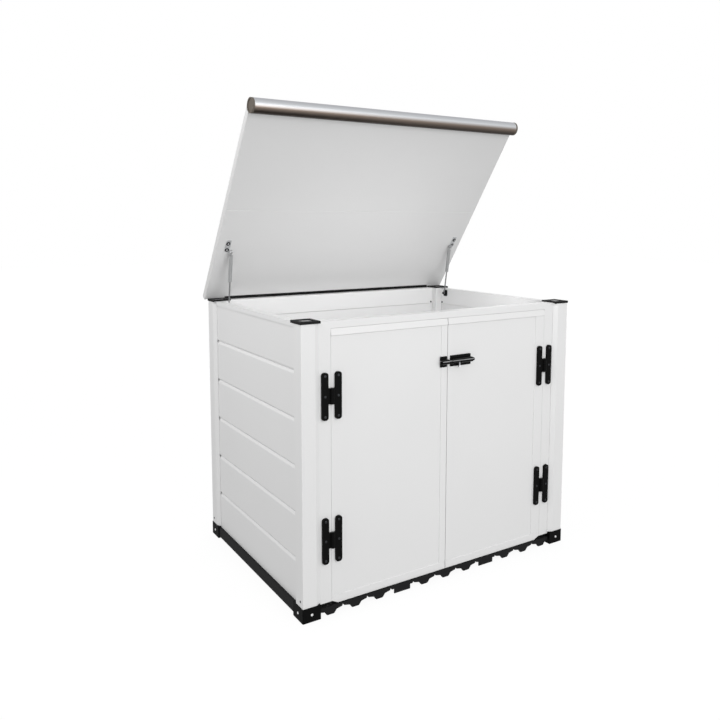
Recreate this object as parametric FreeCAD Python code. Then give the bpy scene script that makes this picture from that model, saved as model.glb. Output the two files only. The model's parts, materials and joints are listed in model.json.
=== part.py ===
"""Garden storage cabinet: slatted plastic walls on four corner posts, twin doors and a strut-held lid.

Frame: x to the right, y to the back, z up, origin on the ground in the middle of the cabinet.
The lid is drawn closed and then turned open about its rear hinge, which is its resting place.
"""
import FreeCAD, Part
import math
import os

# Overall sizes, in millimetres
width = 1220.0  # across the outer faces of the posts
depth = 850.0  # from the front faces of the posts to the rear ones
post_height = 1014.0  # top of the posts above the ground
reveal = 12.0  # how far the posts stand proud of boards, jambs and doors

# Corner posts, with a slot for a wall in each inner side
post_size = 70.0
post_wall = 3.0
post_corner_round = 2.0
slot_depth = 15.0
post_lip_slope_width = 18.0  # slope on the outer side of each slot, along the post's face
post_lip_slope_depth = 10.0
slot_clearance = 0.3  # each side of what sits in a slot

# Feet and caps
foot_wall = 6.0
foot_height = 51.0
foot_top = 5.0
foot_proud = 2.0  # outside the faces of the post
foot_inset = 3.0  # inside the post's face on the door side
foot_plug_height = 14.0
foot_round = 4.0
anchor_hole_radius = 4.5
anchor_hole_height = 25.0
anchor_hole_overrun = 3.0  # the drill starts this far outside the foot and ends this far inside it
cap_thickness = 6.0
cap_skirt = 3.0  # hangs over the post's two outer faces
cap_overhang = 2.0
cap_chamfer = 1.2
cap_recess_border = 14.0
cap_recess_depth = 1.5
cap_plug_depth = 14.0
plug_clearance = 0.4  # round the plugs of the caps and feet

# Wall boards: hollow, tongue up, groove down, with a V along each joint
board_thickness = 25.0
board_rows = 6
board_base = 32.0  # underside of the lowest board, inside the base rail
board_skin = 2.4
board_cells = 3
board_bevel_height = 9.0
board_bevel_depth = 5.0
tongue_width = 7.0
tongue_height = 8.0
tongue_clearance = 0.4

# Base rails, on the ground line between the feet
base_rail_bottom = 8.0
base_rail_top = 46.5
base_rail_setback = 2.0  # behind the post's outer face
base_rail_wall = 3.0

# Top rails over the walls, and the front rail over the doors
rail_wall = 3.0
rail_drop = 1.0  # below the top of the posts
rail_outer_leg = 17.0
rail_inner_leg = 78.0
rail_leg_bevel_depth = 2.5  # slope on the lower edge of the inner leg
rail_leg_bevel_height = 4.0
rear_rail_height = 40.0
front_rail_height = 24.0
front_rail_depth = 40.0
stop_lip_height = 15.0
stop_clearance = 1.0  # between a shut door and its stop

# Floor planks, laid from front to back
plank_count = 11
plank_trim = 20.0  # cut off the two outer planks together, so that the floor fits between the posts
plank_height = 30.0
plank_front_proud = 5.0  # front ends ahead of the doors' faces
plank_gap = 0.4
plank_wall = 2.4
plank_end_wall = 4.0  # closes the front end
plank_relief = 45.0  # the underside is cut away this far behind the front end
plank_edge_height = 4.4  # depth of the plank's side at a joint
plank_edge_slope = 1.5
plank_shoulder_inset = 4.0  # from the joint to the shoulder under it
plank_shoulder_height = 17.5
plank_rib_root_inset = 26.0  # from the joint to the root of the rib
plank_rib_root_height = 13.0
plank_rib_width = 28.0
plank_rib_round = 7.0
runner_inset = 15.0  # from the joint to the side of a runner
runner_positions = (3, 7)
floor_clearance = 0.5

# Doors and the jambs that carry them
jamb_face = 47.0  # visible width of a jamb
jamb_raise = 11.0  # underside of the jamb above the underside of the door
jamb_wall = 2.4
door_side_gap = 0.8
door_meeting_gap = 2.2
door_top_gap = 0.8
door_bottom_gap = 2.0
door_thickness = 25.0
door_skin = 1.6  # wall of the edge channels
panel_clearance = 0.1
panel_skin = 2.0
panel_cells = 6
door_rail_web = 8.0
door_top_rail_height = 26.0
door_top_rail_proud = 3.0  # lower edge of the rail's sloping face ahead of the door's face
door_top_rail_slope = 3.5  # that lower edge ahead of the upper edge
door_top_rail_lip = 3.0  # height of the slope back under the lower edge
door_bottom_rail_height = 28.0
door_bottom_rail_bevel = 1.2
door_stile_web = 6.0
hinge_stile_width = 46.0
meeting_stile_width = 28.0
corner_cut_width = 25.0
corner_cut_height = 12.0

# H-shaped door hinges
leaf_width = 24.4
leaf_height = 161.5
leaf_thickness = 8.0
leaf_round = 10.0
leaf_offset = 13.4  # from the hinge axis to the near edge of a leaf
knuckle_radius = 8.0
knuckle_stand_off = 0.3  # between the knuckle and the face behind it
barrel_height = 53.0
barrel_gap = 0.5
hinge_pin_radius = 3.0
hinge_pin_clearance = 0.05
hinge_pin_head_radius = 5.0
hinge_pin_head_height = 2.0
upper_hinge_drop = 226.2  # below the top of the door
lower_hinge_rise = 232.0  # above the underside of the door
hinge_screw_radius = 2.6
hinge_screw_spread = 69.0
hinge_countersink_radius = 4.8

# Barrel bolt on the right door and its keeper on the left
bolt_drop = 160.2  # centre line below the top of the door
bolt_plate_start = 11.0  # from the middle of the cabinet
bolt_plate_length = 97.0
bolt_plate_height = 41.0
bolt_plate_thickness = 3.0
bolt_plate_round = 3.0
bolt_rod_radius = 6.0
bolt_rod_length = 117.0
bolt_rod_clearance = 0.1
bolt_rod_chamfer = 1.5
bolt_sleeve_radius = 9.0
bolt_travel = 30.0
bolt_parked_nose = 0.5  # nose of the drawn bolt, right of the middle
bolt_knob_from_nose = 47.5
bolt_knob_neck_radius = 3.0
bolt_knob_radius = 5.5
bolt_knob_length = 16.0
bolt_knob_flare = 6.0
bolt_window_clearance = 1.0  # round the neck of the knob at each end of its travel
keeper_start = 4.0
keeper_length = 31.0
keeper_height = 40.0
keeper_bore_clearance = 0.8

# Lid, its rear hinge and its front bar
lid_open_angle = 55.25
lid_side_overhang = 13.6
lid_thickness = 25.0
lid_clearance = 1.5  # between the shut lid and the caps
lid_rear_overhang = 6.0  # behind the hinge axis
lid_rear_trim = 14.0
lid_edge_width = 8.0
lid_edge_round = 3.0
lid_edge_setback = 10.0  # the side strips start this far behind the middle of the bar
lid_front_overhang = 32.5  # front edge of the lid boards ahead of the front posts
lid_skin = 2.4
lid_cells = 5
lid_seam_bevel = 1.5
lid_end_bevel = 0.75
bar_radius = 27.75
bar_wall = 2.5
bar_slot_clearance = 0.2
bar_end_border = 5.0  # ring left round the sunk middle of the bar's end plug
bar_end_depth = 3.0
piano_knuckle_radius = 3.5
piano_pin_radius = 1.5
piano_pin_clearance = 0.05
piano_leaf_thickness = 1.5
piano_lower_leaf_width = 30.0
piano_upper_leaf_width = 6.0
piano_knuckle_count = 16
piano_knuckle_gap = 0.4
piano_end_clearance = 4.0  # from the post to the end of the hinge

# Gas struts: rod on the wall, cylinder on the lid
strut_inset = 49.0  # from the post's outer face to the middle of the strut
strut_lid_reach = 249.0  # from the hinge axis, along the lid
strut_lid_drop = 10.0  # below the underside of the lid
strut_wall_inset = 107.0  # lower pivot, ahead of the posts' rear faces
strut_wall_drop = 23.0  # lower pivot, below the top of the posts
strut_rod_radius = 3.0
strut_cylinder_radius = 7.5
strut_cylinder_wall = 1.6
strut_eye_radius = 6.5
strut_eye_width = 9.0
strut_fitting_length = 14.0  # from a pivot to the cylinder or the visible rod
strut_gland_length = 6.0
strut_gland_clearance = 0.2
strut_piston_length = 5.0
strut_piston_clearance = 0.3
strut_end_wall = 4.0
strut_spare_stroke = 2.0
stud_radius = 3.0
stud_clearance = 0.05
stud_head_radius = 5.0
stud_head_width = 4.0
stud_side_gap = 0.5
open_pivot_gap = 0.3  # between the upper stud and its ear
bracket_thickness = 2.5
wall_bracket_width = 28.0
wall_bracket_height = 30.0
wall_bracket_round = 6.0
lid_bracket_length = 54.0
lid_bracket_width = 20.5
lid_bracket_tail = 3.0  # from the pivot to the rear end of the plate
lid_bracket_ear_width = 16.0
lid_bracket_ear_gap = 5.5  # from the middle of the strut to the ear

# Sizes that follow from those above
half_width = width / 2.0
half_depth = depth / 2.0
post_inner_x = half_width - post_size
post_inner_y = half_depth - post_size
plank_pitch = (2.0 * post_inner_x + plank_trim) / plank_count
anchor_hole_length = foot_wall + 2.0 * anchor_hole_overrun
foot_x0 = -half_width - foot_proud
foot_x1 = -post_inner_x - foot_inset
foot_y0 = -half_depth - foot_proud
foot_y1 = -post_inner_y
wall_slot = board_thickness + 2.0 * slot_clearance
rail_top = post_height - rail_drop
board_pitch = (rail_top - rail_wall - board_base) / board_rows
front_rail_bottom = post_height - front_rail_height
door_face = -half_depth + reveal
door_back = door_face + door_thickness
door_top = front_rail_bottom - door_top_gap
door_bottom = plank_height + door_bottom_gap
hinge_axis_x = post_inner_x - jamb_face
hinge_axis_y = door_face - knuckle_radius - knuckle_stand_off
door_outer = hinge_axis_x - door_side_gap / 2.0
door_inner = door_meeting_gap / 2.0
upper_hinge_z = door_top - upper_hinge_drop
lower_hinge_z = door_bottom + lower_hinge_rise
bolt_z = door_top - bolt_drop
bolt_y = door_face - bolt_plate_thickness - bolt_sleeve_radius
bolt_knob_x = bolt_parked_nose + bolt_knob_from_nose
cap_top = post_height + cap_thickness
lid_axis_y = half_depth + piano_knuckle_radius
lid_axis_z = cap_top + lid_clearance - piano_knuckle_radius
lid_under = lid_axis_z + piano_knuckle_radius
lid_half_width = half_width + lid_side_overhang
lid_front_reach = lid_axis_y + half_depth + lid_front_overhang  # front edge ahead of the hinge axis
lid_seam_reach = lid_front_reach / 2.0
bar_reach = lid_front_reach + bar_slot_clearance
bar_z = lid_under + lid_thickness - bar_radius
strut_x = half_width - strut_inset
strut_wall_back = half_depth - strut_wall_inset
strut_wall_z = post_height - strut_wall_drop

X_AXIS = FreeCAD.Vector(1, 0, 0)
Y_AXIS = FreeCAD.Vector(0, 1, 0)
Z_AXIS = FreeCAD.Vector(0, 0, 1)
ORIGIN = FreeCAD.Vector(0, 0, 0)
same_place = 1e-6  # two points or directions closer than this are taken as one


def at(x, y, z):
    return FreeCAD.Vector(x, y, z)


def block(x0, x1, y0, y1, z0, z1):
    return Part.makeBox(x1 - x0, y1 - y0, z1 - z0, at(x0, y0, z0))


def mirrored(shape, normal=X_AXIS):
    return shape.mirror(ORIGIN, normal)


def flat(points):
    """Face inside a closed run of points."""
    return Part.Face(Part.makePolygon(points + points[:1]))


def rectangle_xy(x0, x1, y0, y1, z):
    return flat([at(x0, y0, z), at(x1, y0, z), at(x1, y1, z), at(x0, y1, z)])


def rectangle_xz(x0, x1, z0, z1, y):
    return flat([at(x0, y, z0), at(x1, y, z0), at(x1, y, z1), at(x0, y, z1)])


def rectangle_yz(y0, y1, z0, z1, x):
    return flat([at(x, y0, z0), at(x, y1, z0), at(x, y1, z1), at(x, y0, z1)])


def hollowed(face, wall):
    """Section of an extrusion that leaves an even wall round its outline."""
    with_sharp_corners = face.makeOffset2D(-wall, join=2)
    return face.cut(with_sharp_corners)


def solid_of(shape):
    """The one solid of a shape that was put together from several."""
    joined = shape.removeSplitter()
    return joined.Solids[0]


def drawn(section, direction):
    """Extrusion of a section that may have holes."""
    return section.extrude(direction).Solids[0]


def edges_along(shape, direction, keep):
    """Straight edges of a shape that run along a direction and whose middle passes a test."""
    chosen = []
    for edge in shape.Edges:
        if edge.Curve.TypeId != "Part::GeomLine":
            continue
        if abs(abs(edge.Curve.Direction.dot(direction)) - 1.0) > same_place:
            continue
        if keep(edge.CenterOfMass):
            chosen.append(edge)
    return chosen


def four_corners(front_left):
    """The same piece at all four corners of the cabinet."""
    front_right = mirrored(front_left)
    rear_left = mirrored(front_left, Y_AXIS)
    rear_right = mirrored(front_right, Y_AXIS)
    return {
        "front_left": front_left,
        "front_right": front_right,
        "rear_left": rear_left,
        "rear_right": rear_right,
    }


def corner_post():
    """Front left post: a square tube folded in to make the wall slots, sloped off outside each slot."""
    x0 = -half_width
    y0 = -half_depth
    slot_start = reveal - slot_clearance
    slot_end = slot_start + wall_slot
    section = rectangle_xy(x0, x0 + post_size, y0, y0 + post_size, foot_height)
    slot_floor = post_size - slot_depth
    side_slot = rectangle_xy(x0 + slot_start, x0 + slot_end, y0 + slot_floor, y0 + post_size, foot_height)
    front_slot = rectangle_xy(x0 + slot_floor, x0 + post_size, y0 + slot_start, y0 + slot_end, foot_height)
    side_slope = flat([
        at(x0, y0 + post_size - post_lip_slope_width, foot_height),
        at(x0 + post_lip_slope_depth, y0 + post_size, foot_height),
        at(x0, y0 + post_size, foot_height),
    ])
    front_slope = flat([
        at(x0 + post_size - post_lip_slope_width, y0, foot_height),
        at(x0 + post_size, y0 + post_lip_slope_depth, foot_height),
        at(x0 + post_size, y0, foot_height),
    ])
    for cutter in (side_slot, front_slot, side_slope, front_slope):
        section = section.cut(cutter).Faces[0]
    post = drawn(hollowed(section, post_wall), at(0, 0, post_height - foot_height))

    def is_outer_corner(point):
        from_middle_x = abs(abs(point.x - x0 - post_size / 2.0) - post_size / 2.0)
        from_middle_y = abs(abs(point.y - y0 - post_size / 2.0) - post_size / 2.0)
        return from_middle_x < same_place and from_middle_y < same_place

    return solid_of(post.makeFillet(post_corner_round, edges_along(post, Z_AXIS, is_outer_corner)))


def post_plug(bottom, top):
    """Block that fits inside the front left post between two heights."""
    near = post_wall + plug_clearance
    far = post_size - max(slot_depth, post_lip_slope_width) - post_wall - plug_clearance
    return block(
        -half_width + near, -half_width + far, -half_depth + near, -half_depth + far, bottom, top
    )


def anchor_hole_x():
    """Hole for a ground anchor through the side of the front left foot."""
    start = at(foot_x0 - anchor_hole_overrun, (foot_y0 + foot_y1) / 2.0, anchor_hole_height)
    return Part.makeCylinder(anchor_hole_radius, anchor_hole_length, start, X_AXIS)


def anchor_hole_y():
    """Hole for a ground anchor through the front of the front left foot."""
    start = at((foot_x0 + foot_x1) / 2.0, foot_y0 - anchor_hole_overrun, anchor_hole_height)
    return Part.makeCylinder(anchor_hole_radius, anchor_hole_length, start, Y_AXIS)


def foot():
    """Front left foot: a box open below that the post stands on, notched for the boards or jamb beside it."""
    shoe = block(foot_x0, foot_x1, foot_y0, foot_y1, 0.0, foot_height)

    def is_outer_edge(point):
        return abs(point.x - foot_x0) < same_place and abs(point.y - foot_y0) < same_place

    shoe = shoe.makeFillet(foot_round, edges_along(shoe, Z_AXIS, is_outer_edge))
    room = block(
        foot_x0 + foot_wall,
        foot_x1 - foot_wall,
        foot_y0 + foot_wall,
        foot_y1 - foot_wall,
        0.0,
        foot_height - foot_top,
    )
    slot_start = reveal - slot_clearance
    slot_end = slot_start + wall_slot
    notch_bottom = board_base - slot_clearance
    side_notch = block(
        -half_width + slot_start,
        -half_width + slot_end,
        foot_y1 - slot_depth,
        foot_y1,
        notch_bottom,
        foot_height,
    )
    front_notch = block(
        -post_inner_x - slot_depth,
        foot_x1,
        -half_depth + slot_start,
        -half_depth + slot_end,
        notch_bottom,
        foot_height,
    )
    shoe = shoe.fuse(post_plug(foot_height, foot_height + foot_plug_height))
    shoe = shoe.cut(room).cut(side_notch).cut(front_notch)
    return solid_of(shoe.cut(anchor_hole_x()).cut(anchor_hole_y()))


def cap():
    """Front left cap: a bevelled plate with a sunk middle, a skirt outside the post and a plug inside it."""
    x0 = -half_width - cap_overhang
    y0 = -half_depth - cap_overhang
    size = post_size + 2.0 * cap_overhang
    skirt_bottom = post_height - cap_skirt
    plate = block(x0, x0 + size, y0, y0 + size, skirt_bottom, cap_top)
    post_room = block(-half_width, x0 + size, -half_depth, y0 + size, skirt_bottom, post_height)
    rim = [edge for edge in plate.Edges if abs(edge.CenterOfMass.z - cap_top) < same_place]
    plate = plate.makeChamfer(cap_chamfer, rim)
    border = cap_recess_border
    recess = block(
        x0 + border,
        x0 + size - border,
        y0 + border,
        y0 + size - border,
        cap_top - cap_recess_depth,
        cap_top,
    )
    plug = post_plug(post_height - cap_plug_depth, post_height)
    return solid_of(plate.cut(post_room).cut(recess).fuse(plug))


def board_section(row):
    """Section of one wall board as (distance from the outer face, height) pairs, and its cells."""
    bottom = board_base + row * board_pitch
    top = bottom + board_pitch
    thickness = board_thickness
    tongue_start = (thickness - tongue_width) / 2.0
    tongue_end = tongue_start + tongue_width
    groove_start = tongue_start - tongue_clearance
    groove_end = tongue_end + tongue_clearance
    groove_top = bottom + tongue_height + tongue_clearance
    outline = [(0.0, bottom + board_bevel_height), (0.0, top - board_bevel_height), (board_bevel_depth, top)]
    if row < board_rows - 1:
        outline += [
            (tongue_start, top),
            (tongue_start, top + tongue_height),
            (tongue_end, top + tongue_height),
            (tongue_end, top),
        ]
    outline += [
        (thickness, top),
        (thickness, bottom),
        (groove_end, bottom),
        (groove_end, groove_top),
        (groove_start, groove_top),
        (groove_start, bottom),
        (board_bevel_depth, bottom),
    ]
    first = groove_top + board_skin
    last = top - board_bevel_height - board_skin
    cell_height = (last - first - (board_cells - 1) * board_skin) / board_cells
    cells = []
    for index in range(board_cells):
        low = first + index * (cell_height + board_skin)
        cells.append((low, low + cell_height))
    return outline, cells


def wall_boards(place, direction):
    """Stack of boards; place turns a distance from the outer face and a height into a point."""
    boards = []
    for row in range(board_rows):
        outline, cells = board_section(row)
        section = flat([place(inward, height) for inward, height in outline])
        for low, high in cells:
            near = board_skin
            far = board_thickness - board_skin
            corners = [place(near, low), place(near, high), place(far, high), place(far, low)]
            section = section.cut(flat(corners))
        boards.append(drawn(section, direction))
    return Part.makeCompound(boards)


def left_wall():
    outer = -half_width + reveal
    start = -post_inner_y - slot_depth + slot_clearance

    def place(inward, height):
        return at(outer + inward, start, height)

    return wall_boards(place, at(0, -2.0 * start, 0))


def rear_wall():
    outer = half_depth - reveal
    start = -post_inner_x - slot_depth + slot_clearance

    def place(inward, height):
        return at(start, outer - inward, height)

    return wall_boards(place, at(-2.0 * start, 0, 0))


def left_base_rail():
    """Hollow rail between two feet, with a groove on top for the lowest board."""
    outer = -half_width + base_rail_setback
    inner = -post_inner_x
    start = -post_inner_y
    section = rectangle_xz(outer, inner, base_rail_bottom, base_rail_top, start)
    groove = -half_width + reveal - slot_clearance
    board_room = rectangle_xz(groove, groove + wall_slot, board_base, base_rail_top, start)
    section = section.cut(board_room).Faces[0]
    return drawn(hollowed(section, base_rail_wall), at(0, -2.0 * start, 0))


def rear_base_rail():
    outer = half_depth - base_rail_setback
    inner = post_inner_y
    start = -post_inner_x
    section = rectangle_yz(inner, outer, base_rail_bottom, base_rail_top, start)
    groove = half_depth - reveal + slot_clearance
    board_room = rectangle_yz(groove - wall_slot, groove, board_base, base_rail_top, start)
    section = section.cut(board_room).Faces[0]
    return drawn(hollowed(section, base_rail_wall), at(-2.0 * start, 0, 0))


def left_top_rail():
    """Inverted channel over the side wall, with a longer inner leg that carries the strut bracket."""
    gap_start = -half_width + reveal - slot_clearance
    gap_end = gap_start + wall_slot
    outer = gap_start - rail_wall
    inner = gap_end + rail_wall
    start = -post_inner_y
    leg_bottom = rail_top - rail_inner_leg
    ceiling = rail_top - rail_wall
    section = flat([
        at(outer, start, rail_top - rail_outer_leg),
        at(outer, start, rail_top),
        at(inner, start, rail_top),
        at(inner, start, leg_bottom + rail_leg_bevel_height),
        at(inner - rail_leg_bevel_depth, start, leg_bottom),
        at(gap_end, start, leg_bottom),
        at(gap_end, start, ceiling),
        at(gap_start, start, ceiling),
        at(gap_start, start, rail_top - rail_outer_leg),
    ])
    return drawn(section, at(0, -2.0 * start, 0))


def rear_top_rail():
    """Rail over the rear wall, flush with the posts behind so that the lid hinge can lie on it."""
    groove = half_depth - reveal + slot_clearance
    inner = groove - wall_slot - rail_wall
    leg_bottom = rail_top - rail_inner_leg
    bottom = rail_top - rear_rail_height
    ceiling = rail_top - rail_wall
    start = -post_inner_x
    section = flat([
        at(start, inner + rail_leg_bevel_depth, leg_bottom),
        at(start, inner, leg_bottom + rail_leg_bevel_height),
        at(start, inner, rail_top),
        at(start, half_depth, rail_top),
        at(start, half_depth, bottom),
        at(start, half_depth - rail_wall, bottom),
        at(start, half_depth - rail_wall, ceiling),
        at(start, groove + rail_wall, ceiling),
        at(start, groove + rail_wall, bottom),
        at(start, groove, bottom),
        at(start, groove, ceiling),
        at(start, groove - wall_slot, ceiling),
        at(start, groove - wall_slot, leg_bottom),
    ])
    return drawn(section, at(-2.0 * start, 0, 0))


def front_top_rail():
    """Hollow rail over the doors, with a lip behind them that they shut against."""
    start = -post_inner_x
    lip_front = door_back + stop_clearance
    back = door_face + front_rail_depth
    section = flat([
        at(start, door_face, front_rail_bottom),
        at(start, door_face, post_height),
        at(start, back, post_height),
        at(start, back, front_rail_bottom - stop_lip_height),
        at(start, lip_front, front_rail_bottom - stop_lip_height),
        at(start, lip_front, front_rail_bottom),
    ])
    return drawn(hollowed(section, rail_wall), at(-2.0 * start, 0, 0))


def plank_half_outline(is_runner):
    """Right half of a plank's section, from the middle of its underside up to its top edge."""
    half = (plank_pitch - plank_gap) / 2.0
    side_bottom = plank_height - plank_edge_height
    if is_runner:
        runner_side = plank_pitch / 2.0 - runner_inset
        points = [(runner_side, 0.0), (runner_side, plank_shoulder_height)]
    else:
        points = [
            (plank_rib_width / 2.0, 0.0),
            (plank_pitch / 2.0 - plank_rib_root_inset, plank_rib_root_height),
        ]
    points += [
        (plank_pitch / 2.0 - plank_shoulder_inset, plank_shoulder_height),
        (half - plank_edge_slope, side_bottom),
        (half, side_bottom),
        (half, plank_height),
    ]
    return points


def floor_plank(index):
    """One plank: closed in front, cut away under there, hollow behind; the outer ones are cut to fit."""
    is_runner = index in runner_positions
    middle = (index - (plank_count - 1) / 2.0) * plank_pitch
    right_half = plank_half_outline(is_runner)
    left_half = [(-across, height) for across, height in reversed(right_half)]
    start = door_face - plank_front_proud
    section = flat([at(middle + across, start, height) for across, height in right_half + left_half])
    limit = post_inner_x - floor_clearance
    section = section.common(rectangle_xz(-limit, limit, 0.0, plank_height, start)).Faces[0]
    length = post_inner_y - floor_clearance - start
    plank = drawn(section, at(0, length, 0))

    def is_rib_edge(point):
        return point.z < same_place

    if not is_runner:
        plank = plank.makeFillet(plank_rib_round, edges_along(plank, Y_AXIS, is_rib_edge))
    hollow = section.makeOffset2D(-plank_wall, join=2).extrude(at(0, length, 0))
    hollow.translate(at(0, plank_relief + plank_end_wall, 0))
    relief = block(-limit, limit, start + plank_end_wall, start + plank_relief, 0.0, plank_shoulder_height)
    return solid_of(plank.cut(hollow).cut(relief))


def floor_planks(runners):
    chosen = [index for index in range(plank_count) if (index in runner_positions) == runners]
    return Part.makeCompound([floor_plank(index) for index in chosen])


def left_jamb():
    """Upright strip that sits in the post's front slot and carries the door hinges."""
    outer = -post_inner_x - slot_depth + slot_clearance
    inner = -hinge_axis_x - door_side_gap / 2.0
    bottom = door_bottom + jamb_raise
    section = rectangle_xy(outer, inner, door_face, door_face + board_thickness, bottom)
    return drawn(hollowed(section, jamb_wall), at(0, 0, front_rail_bottom - bottom))


def corner_wedge(inset):
    """Triangle cut off the lower hinge-side corner of the left door, moved in by an inset."""
    cut_width = corner_cut_width + inset * (1.0 + corner_cut_width / corner_cut_height)
    cut_height = cut_width * corner_cut_height / corner_cut_width
    low = door_bottom
    edge = -door_outer
    wedge = flat([
        at(edge, door_face, low),
        at(edge + cut_width, door_face, low),
        at(edge, door_face, low + cut_height),
    ])
    return wedge.extrude(at(0, door_thickness, 0))


def left_door_panel():
    """Hollow door panel with upright cells, held in the channels of the rails and stiles."""
    x0 = -door_outer + door_stile_web + panel_clearance
    x1 = -door_inner - door_stile_web - panel_clearance
    y0 = door_face + door_skin + panel_clearance
    y1 = door_back - door_skin - panel_clearance
    z0 = door_bottom + door_rail_web + panel_clearance
    z1 = door_top - door_rail_web - panel_clearance
    section = rectangle_xy(x0, x1, y0, y1, z0)
    cell_width = (x1 - x0 - (panel_cells + 1) * panel_skin) / panel_cells
    for index in range(panel_cells):
        start = x0 + panel_skin + index * (cell_width + panel_skin)
        section = section.cut(rectangle_xy(start, start + cell_width, y0 + panel_skin, y1 - panel_skin, z0))
    panel = drawn(section, at(0, 0, z1 - z0))
    return solid_of(panel.cut(corner_wedge(door_skin)))


def left_door_rails():
    """Top rail with a sloping face, and bottom rail with its hinge-side corner cut off."""
    x0 = -door_outer
    length = door_outer - door_inner
    slot_front = door_face + door_skin
    slot_back = door_back - door_skin
    top_low = door_top - door_top_rail_height
    top_roof = door_top - door_rail_web
    edge_front = door_face - door_top_rail_proud
    top_section = flat([
        at(x0, door_face, top_low),
        at(x0, edge_front, top_low + door_top_rail_lip),
        at(x0, edge_front + door_top_rail_slope, door_top),
        at(x0, door_back, door_top),
        at(x0, door_back, top_low),
        at(x0, slot_back, top_low),
        at(x0, slot_back, top_roof),
        at(x0, slot_front, top_roof),
        at(x0, slot_front, top_low),
    ])
    low_top = door_bottom + door_bottom_rail_height
    low_floor = door_bottom + door_rail_web
    bottom_section = flat([
        at(x0, door_face, door_bottom),
        at(x0, door_face, low_top - door_bottom_rail_bevel),
        at(x0, door_face + door_bottom_rail_bevel, low_top),
        at(x0, slot_front, low_top),
        at(x0, slot_front, low_floor),
        at(x0, slot_back, low_floor),
        at(x0, slot_back, low_top),
        at(x0, door_back, low_top),
        at(x0, door_back, door_bottom),
    ])
    top_rail = drawn(top_section, at(length, 0, 0))
    bottom_rail = drawn(bottom_section, at(length, 0, 0)).cut(corner_wedge(0.0))
    return Part.makeCompound([top_rail, solid_of(bottom_rail)])


def door_stile(edge, inward, stile_width):
    """Upright channel on one side of the left door; inward is +1 or -1 along x from its outer edge."""
    low = door_bottom + door_bottom_rail_height
    high = door_top - door_top_rail_height
    web = edge + inward * door_stile_web
    far = edge + inward * stile_width
    slot_front = door_face + door_skin
    slot_back = door_back - door_skin
    section = flat([
        at(edge, door_face, low),
        at(far, door_face, low),
        at(far, slot_front, low),
        at(web, slot_front, low),
        at(web, slot_back, low),
        at(far, slot_back, low),
        at(far, door_back, low),
        at(edge, door_back, low),
    ])
    return drawn(section, at(0, 0, high - low))


def left_door_stiles():
    hinge_stile = door_stile(-door_outer, 1.0, hinge_stile_width)
    meeting_stile = door_stile(-door_inner, -1.0, meeting_stile_width)
    return Part.makeCompound([hinge_stile, meeting_stile])


def hinge_leaf(middle_z, side):
    """One leaf of a left H hinge with its knuckles: side -1 is the jamb leaf, +1 the door leaf."""
    axis_x = -hinge_axis_x
    near = axis_x + side * leaf_offset
    far = near + side * leaf_width
    x0 = min(near, far)
    front = door_face - leaf_thickness
    plate = block(
        x0, x0 + leaf_width, front, door_face, middle_z - leaf_height / 2.0, middle_z + leaf_height / 2.0
    )

    def is_leaf_end(point):
        return abs(abs(point.z - middle_z) - leaf_height / 2.0) < same_place

    plate = plate.makeFillet(leaf_round, edges_along(plate, Y_AXIS, is_leaf_end))
    third = barrel_height / 3.0
    low = middle_z - barrel_height / 2.0
    outer_stretches = [(low, low + third - barrel_gap), (low + 2.0 * third + barrel_gap, low + barrel_height)]
    middle_stretch = [(low + third, low + 2.0 * third)]
    own, other = (outer_stretches, middle_stretch) if side < 0 else (middle_stretch, outer_stretches)
    web_back = door_face - knuckle_stand_off
    web = block(min(axis_x, near), max(axis_x, near), front, web_back, low, low + barrel_height)
    for start, end in other:
        room_start = at(axis_x, hinge_axis_y, start - barrel_gap)
        room_height = end - start + 2.0 * barrel_gap
        web = web.cut(Part.makeCylinder(knuckle_radius + barrel_gap, room_height, room_start))
    plate = plate.fuse(web)
    for start, end in own:
        plate = plate.fuse(Part.makeCylinder(knuckle_radius, end - start, at(axis_x, hinge_axis_y, start)))
    bore = hinge_pin_radius if side < 0 else hinge_pin_radius + hinge_pin_clearance
    plate = plate.cut(Part.makeCylinder(bore, barrel_height, at(axis_x, hinge_axis_y, low)))
    screw_x = x0 + leaf_width / 2.0
    for step in (-1, 0, 1):
        screw_z = middle_z + step * hinge_screw_spread
        hole = Part.makeCylinder(hinge_screw_radius, leaf_thickness, at(screw_x, front, screw_z), Y_AXIS)
        sink_depth = hinge_countersink_radius - hinge_screw_radius
        sink = Part.makeCone(
            hinge_countersink_radius, hinge_screw_radius, sink_depth, at(screw_x, front, screw_z), Y_AXIS
        )
        plate = plate.cut(hole).cut(sink)
    return solid_of(plate)


def left_hinge_leaves(side):
    return Part.makeCompound([hinge_leaf(upper_hinge_z, side), hinge_leaf(lower_hinge_z, side)])


def left_hinge_pins():
    """Headed pins of the two left door hinges."""
    pins = []
    for middle_z in (upper_hinge_z, lower_hinge_z):
        low = middle_z - barrel_height / 2.0
        shank = Part.makeCylinder(hinge_pin_radius, barrel_height, at(-hinge_axis_x, hinge_axis_y, low))
        head_base = at(-hinge_axis_x, hinge_axis_y, low + barrel_height)
        head = Part.makeCylinder(hinge_pin_head_radius, hinge_pin_head_height, head_base)
        pins.append(solid_of(shank.fuse(head)))
    return Part.makeCompound(pins)


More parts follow.
